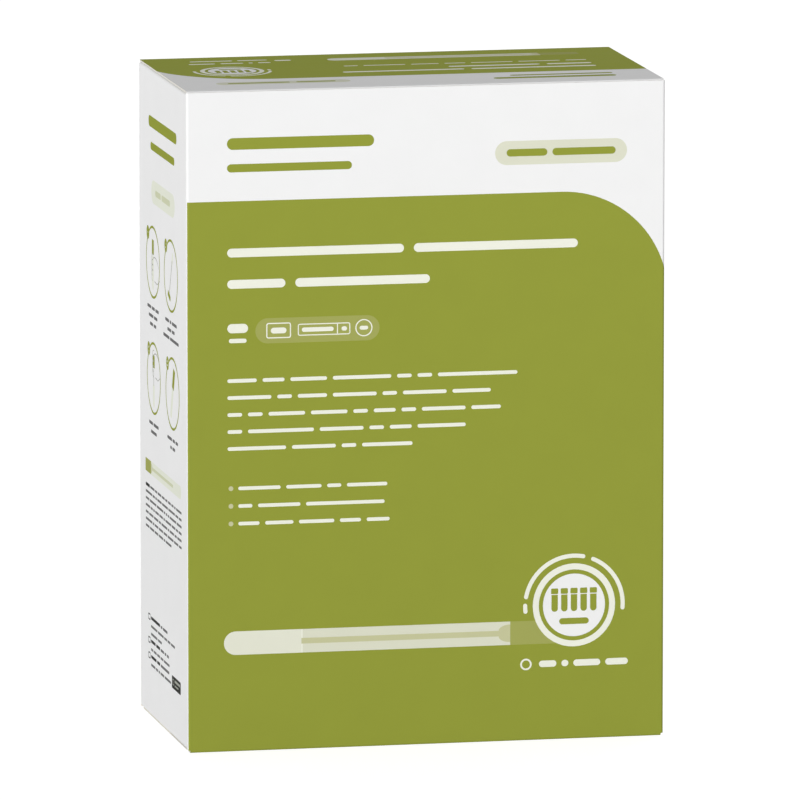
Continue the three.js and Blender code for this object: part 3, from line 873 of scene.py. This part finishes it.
class Pack:
    """Where one wrapped tube lies. Its pieces are made along +X and turned to its heading."""

    def __init__(self, name, y, z, heading):
        self.name, self.place, self.heading = name, Vector((0, y, z)), heading

    def point(self, x, y, z):
        """Place in the scene of a point given from the middle of the tube."""
        h = self.heading
        return self.place + Vector((h * x, h * y, z)) * MM

    def turned(self, kind, profile, segments, slot, ripple=None):
        """Turned solid from (radius, place along the tube) pairs; a ripple changes the radius."""
        mesh = bmesh.new()
        rings = []
        for radius, place in profile:
            x = place - HALF_TUBE
            if radius == 0:
                rings.append([mesh.verts.new(self.point(x, 0, 0))])
                continue
            ring = []
            for i in range(segments):
                angle = 2 * math.pi * i / segments
                r = radius + (ripple(angle, place, radius) if ripple else 0)
                y, z = r * math.cos(angle), r * math.sin(angle)
                ring.append(mesh.verts.new(self.point(x, y, z)))
            rings.append(ring)
        for a, b in zip(rings, rings[1:]):
            for i in range(segments):
                j = (i + 1) % segments
                corners = [a[i % len(a)], a[j % len(a)], b[j % len(b)], b[i % len(b)]]
                mesh.faces.new(list(dict.fromkeys(corners)))
        return self.finish(kind, mesh, slot)

    def sheet(self, kind, rows, slot):
        """Web from rows of (x, y, z, normal y, normal z), with its thickness inwards."""
        outer = [[self.point(x, y, z) for x, y, z, _, _ in row] for row in rows]
        inner = [[self.point(x, y - ny * WEB, z - nz * WEB) for x, y, z, ny, nz in row]
                 for row in rows]
        mesh = bmesh.new()
        closed_sheet(mesh, outer, inner)
        return self.finish(kind, mesh, slot)

    def finish(self, kind, mesh, slot):
        """Smooth piece that keeps its sharp edges."""
        piece = add_piece(f"{self.name}_{kind}", mesh, MATERIALS[kind], BODY)
        for face in piece.data.polygons:
            face.use_smooth = True
        sharp = piece.modifiers.new("creases", "EDGE_SPLIT")
        sharp.split_angle = math.radians(SHARP)
        return piece


def pouch_places(fine):
    """Places along a pouch from end to end, each with how round it is there."""
    flat, full = HALF_POUCH - FLAT_SEAL, HALF_TUBE
    along, taper, seal = (36, 8, 14) if fine else (4, 8, 2)
    places = [full * i / along for i in range(along)]
    places += [full + (flat - full) * i / taper for i in range(taper)]
    places += [flat + FLAT_SEAL * i / seal for i in range(seal + 1)]
    half = [(x, 1 - smooth((x - full) / (flat - full))) for x in places]
    return [(-x, r) for x, r in half[:0:-1]] + half


def crinkle(x, angle, seed):
    """How far the film falls in at a point: long soft dents and fine creases."""
    def folds(along, round_it, depth, own_seed):
        return depth * noise.noise(Vector((x * along, angle * round_it, own_seed)))
    return FALL + folds(*DENTS, seed) + folds(*CREASES, seed + 9)


def film_rows(fine, seed):
    """Rows of a pouch's clear top web, from end to end. A fine one has crinkles and crimps."""
    steps = 24 if fine else 8
    rows = []
    for x, r in pouch_places(fine):
        row = []
        lift = (1 - r) * (FIT + WEB)
        if fine:
            lift += CRIMP * (1 - r) ** 4 * math.cos(2 * math.pi * x)
        for i in range(steps + 1):
            a = math.radians(FILM_EDGE + (180 - 2 * FILM_EDGE) * i / steps)
            c, s = math.cos(a), math.sin(a)
            radius = POUCH_RADIUS - (crinkle(x, a, seed) * r * s if fine else 0.0)
            ny, nz = Vector((c * r, s * r + 1 - r)).normalized()
            row.append((x, c * radius, s * r * radius + lift, ny, nz))
        rows.append(row)
    return rows


def paper_rows(fine):
    """Rows of a pouch's paper web: a trough with an upright side seal at either side."""
    steps = 16 if fine else 6
    rows = []
    for x, r in pouch_places(fine):
        trough = []
        for i in range(steps + 1):
            a = math.radians(180 + PAPER_EDGE + (180 - 2 * PAPER_EDGE) * i / steps)
            c, s = math.cos(a), math.sin(a)
            ny, nz = Vector((c * r, s * r - 1 + r)).normalized()
            trough.append((x, c * POUCH_RADIUS, s * r * POUCH_RADIUS, ny, nz))

        def lip(side, z):
            """Point of the side seal at one side, at a height."""
            wave = LIP_WAVE * math.sin(x / 2 + side) * (z / LIP_HEIGHT) * r if fine else 0.0
            reach = LIP_REACH + (z - LIP_HEIGHT) * (1 - r) * LIP_SLOPE
            return (x, side * reach, z * r + wave, side * r, r - 1)
        rows.append([lip(-1, LIP_HEIGHT), lip(-1, 0)] + trough + [lip(1, 0), lip(1, LIP_HEIGHT)])
    return rows


def cap_ribs(angle, place, radius):
    """Fine grip ribs between the cap's end and its rim."""
    ribbed = PLAIN_END < place < CAP_HEAD - CAP_RIM - PLAIN_RIM and radius == CAP_WAIST
    return -RIB_DEPTH * (0.5 + 0.5 * math.cos(RIBS * angle)) if ribbed else 0.0


def wound(angle, place, radius):
    """Fibre wound round the tip: slanting strands and tufts, never wider than the tip."""
    if radius < CORE:
        return 0.0
    strands = math.sin(STRANDS * angle + place * SLANT)
    tufts = noise.noise(Vector((place * TUFTS, math.cos(angle) * 2, math.sin(angle) * 2)))
    return STRAND_DEPTH * strands + TUFT_DEPTH * tufts - FIBRE_FALL


def swab_pieces(pack):
    """The tube with its cap, swab and medium."""
    bore = TUBE_RADIUS - TUBE_WALL
    rim = CAP_HEAD + FIT
    tube = round_end(bore, TUBE_LENGTH - TUBE_WALL)[::-1]
    tube += [(bore, rim + EDGE), (bore + EDGE, rim), (TUBE_RADIUS - EDGE, rim),
             (TUBE_RADIUS, rim + EDGE)] + round_end(TUBE_RADIUS, TUBE_LENGTH)
    waist_end, plug, plug_end = CAP_HEAD - CAP_RIM, bore - FIT, CAP_HEAD + CAP_PLUG
    socket = SHAFT_RADIUS + FIT
    cap = [(0, DIMPLE_DEPTH), (DIMPLE, DIMPLE_DEPTH), (DIMPLE + EDGE * 2, 0),
           (CAP_WAIST - NOSE, 0), (CAP_WAIST - 0.25, 0.25), (CAP_WAIST, NOSE)]
    cap += between((CAP_WAIST, PLAIN_END), (CAP_WAIST, waist_end - PLAIN_RIM), 6)
    cap += [(CAP_WAIST, waist_end - PLAIN_RIM), (CAP_WAIST, waist_end),
            (CAP_RADIUS - 0.15, waist_end + 0.6), (CAP_RADIUS, waist_end + 0.9),
            (CAP_RADIUS, CAP_HEAD - EDGE), (CAP_RADIUS - EDGE, CAP_HEAD), (plug, CAP_HEAD),
            (plug, plug_end - PLUG_TAPER), (plug - PLUG_TAPER, plug_end), (socket, plug_end),
            (socket, SHAFT_START - FIT), (0, SHAFT_START - FIT)]
    shaft = [(0, SHAFT_START), (SHAFT_RADIUS, SHAFT_START)]
    out_of_cap = 28
    shaft += between((SHAFT_RADIUS, out_of_cap), (SHAFT_RADIUS, SHAFT_END), 12)
    shaft += [(SHAFT_RADIUS, SHAFT_END), (0, SHAFT_END)]
    neck = 1.7
    swell = [smooth(i / 12) for i in range(12)]
    tip = [(0, SHAFT_END + FIT), (socket, SHAFT_END + FIT), (socket, TIP_NECK)]
    tip += [(neck + (TIP_RADIUS - neck) * share, TIP_NECK + (TIP_FULL - TIP_NECK) * i / 12)
            for i, share in enumerate(swell)]
    tip += between((TIP_RADIUS, TIP_FULL), (TIP_RADIUS, TIP_END - TIP_RADIUS), 14)
    tip += round_end(TIP_RADIUS, TIP_END)
    inside, outside, lip = TIP_RADIUS + FIT, bore - FIT, MEDIUM_START + 0.5
    medium = round_end(inside, TIP_END + FIT)[::-1]
    medium += [(inside, MEDIUM_START), (inside + 0.3, lip), (outside - 0.8, lip),
               (outside, MEDIUM_START)] + round_end(outside, TUBE_LENGTH - TUBE_WALL - FIT)
    return [pack.turned(*piece) for piece in (
        ("tube", tube, 48, "clear_tube"), ("cap", cap, 120, "olive_cap", cap_ribs),
        ("shaft", shaft, 20, "white_shaft"), ("tip", tip, 40, "wound_fibre", wound),
        ("medium", medium, 40, "gel_medium"))]


def pouch_pieces(pack, fine, seed):
    """The two webs of a pouch. The seed is for its crinkles."""
    return [pack.sheet("film", film_rows(fine, seed), "pouch_film"),
            pack.sheet("paper", paper_rows(fine), "pouch_paper")]


def middle(node, axis):
    """Middle of a CAD node along one axis."""
    low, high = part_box(node)
    return (low[axis] + high[axis]) / 2


def contents():
    """Wrapped tubes that can be seen: the four on top, and the layer under them."""
    for name, node in frame["nodes"].items():
        if name.startswith("packed_"):
            node.data.materials.clear()
            node.data.materials.append(MATERIALS["paper"])
    places = []
    for number in range(1, 5):
        name = f"swab_{number}"
        y, z = middle(f"{name}_tube", 1), middle(f"{name}_tube", 2)
        heading = 1 if middle(f"{name}_cap", 0) < 0 else -1
        places.append((y, z, heading))
        pack = Pack(f"fine_{name}", y, z, heading)
        for piece in swab_pieces(pack) + pouch_pieces(pack, True, number):
            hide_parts(f"{name}_{piece.name.rsplit('_', 1)[-1]}")
    y, z, heading = places[0]
    for column in range(6):
        seen = column >= len(places)
        turn = heading if column % 2 else -heading
        place = (y + column * COLUMN_PITCH * MM, z - LAYER_PITCH * MM)
        pack = Pack(f"lower_swab_{column + 1}", *place, turn)
        pieces = pouch_pieces(pack, seen, 20 + column)
        if seen:
            swab_pieces(pack)
        for piece in pieces:
            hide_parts("packed_layer_16")


# ---- studio

FLOOR_GLOW, FLOOR_SEEN = 0.24, 0.8  # light that the floor gives off, and what the camera sees of it
FLOOR_SIZE, FLOOR_DROP = 12, 0.0002  # in metres; it lies a little under the carton
AMBIENT = 0.41
LAMPS = (("key", (-0.62, -0.785, 0.05), 0.95), ("fill", (0.6, 0.8, 0.06), 0.6))
LAMP_ANGLE = 24  # how wide a lamp looks, which softens its shadows
AZIMUTH, ELEVATION = -11.75, 9.0  # of the camera, from straight in front
DISTANCE, TARGET = 5.0, Vector((-0.00016, 0, 0.12866))  # in metres, and what it looks at
LENS, SENSOR = 571.8, 36.0
CLEAR_LAYERS = 32  # enough for light to pass a pouch and its tube twice


def seen_as_white(tree, low, high):
    """Number that is high for camera, glossy and transmission rays, and low for light itself."""
    path = tree.nodes.new("ShaderNodeLightPath")
    seen = path.outputs["Is Camera Ray"]
    for ray in ("Is Glossy Ray", "Is Transmission Ray"):
        either = tree.nodes.new("ShaderNodeMath")
        either.operation = "MAXIMUM"
        tree.links.new(seen, either.inputs[0])
        tree.links.new(path.outputs[ray], either.inputs[1])
        seen = either.outputs[0]
    strength = tree.nodes.new("ShaderNodeMapRange")
    strength.inputs["To Min"].default_value = low
    strength.inputs["To Max"].default_value = high
    tree.links.new(seen, strength.inputs["Value"])
    return strength.outputs["Result"]


def floor():
    """Pale floor that glows like a light table. To the camera it is lifted to white."""
    n = Nodes("pale_floor")
    n.set(Base_Color=(0.5, 0.5, 0.5, 1), Roughness=0.9, Specular_IOR_Level=0.0)
    glow = n.add("ShaderNodeEmission", Color=(1, 1, 1, 1))
    n.link(seen_as_white(n.tree, FLOOR_GLOW, FLOOR_SEEN), glow.inputs["Strength"])
    both = n.add("ShaderNodeAddShader")
    n.link(n.shader.outputs[0], both.inputs[0])
    n.link(glow.outputs[0], both.inputs[1])
    n.link(both.outputs[0], n.tree.nodes["Material Output"].inputs["Surface"])
    bpy.ops.mesh.primitive_plane_add(size=FLOOR_SIZE)
    plane = bpy.context.object
    plane.name = "studio_floor"
    plane.location.z = -FLOOR_DROP
    plane.data.materials.append(n.material)


def world():
    """Even pale light, and white where the camera sees past the floor."""
    scene_world = bpy.data.worlds.new("studio")
    bpy.context.scene.world = scene_world
    scene_world.use_nodes = True
    tree = scene_world.node_tree
    background = tree.nodes["Background"]
    background.inputs["Color"].default_value = (1, 1, 1, 1)
    tree.links.new(seen_as_white(tree, AMBIENT, 1.0), background.inputs["Strength"])


def aim(thing, direction):
    """Put a camera or lamp in the scene, so that it looks or shines from a direction."""
    thing.rotation_mode = "QUATERNION"
    thing.rotation_quaternion = direction.to_track_quat("Z", "Y")
    bpy.context.scene.collection.objects.link(thing)


def lamp(name, direction, strength):
    """Distant lamp that shines from a direction. A strength of 1 lights a white face to white."""
    data = bpy.data.lights.new(name, "SUN")
    data.energy = strength * math.pi
    data.angle = math.radians(LAMP_ANGLE)
    aim(bpy.data.objects.new(name, data), Vector(direction))


def camera():
    """Long lens, from the front and a little to the left and above."""
    across, up = polar(1, ELEVATION)
    forward, side = polar(across, AZIMUTH)
    back = Vector((side, -forward, up))
    data = bpy.data.cameras.new("camera")
    data.sensor_width, data.lens = SENSOR, LENS
    data.clip_end = 100
    view = bpy.data.objects.new("camera", data)
    view.location = TARGET + back * DISTANCE
    aim(view, back)
    bpy.context.scene.camera = view


camera()
dress_board("carton_body", body_face)
dress_board("carton_lid", lid_face)
contents()
hinge_crease()
front_print()
left_print()
upright_field(BACK, BACK_FOOT)
lid_print()
floor()
world()
for lamp_facts in LAMPS:
    lamp(*lamp_facts)
bpy.context.scene.view_settings.view_transform = "Standard"
bpy.context.scene.cycles.transparent_max_bounces = CLEAR_LAYERS
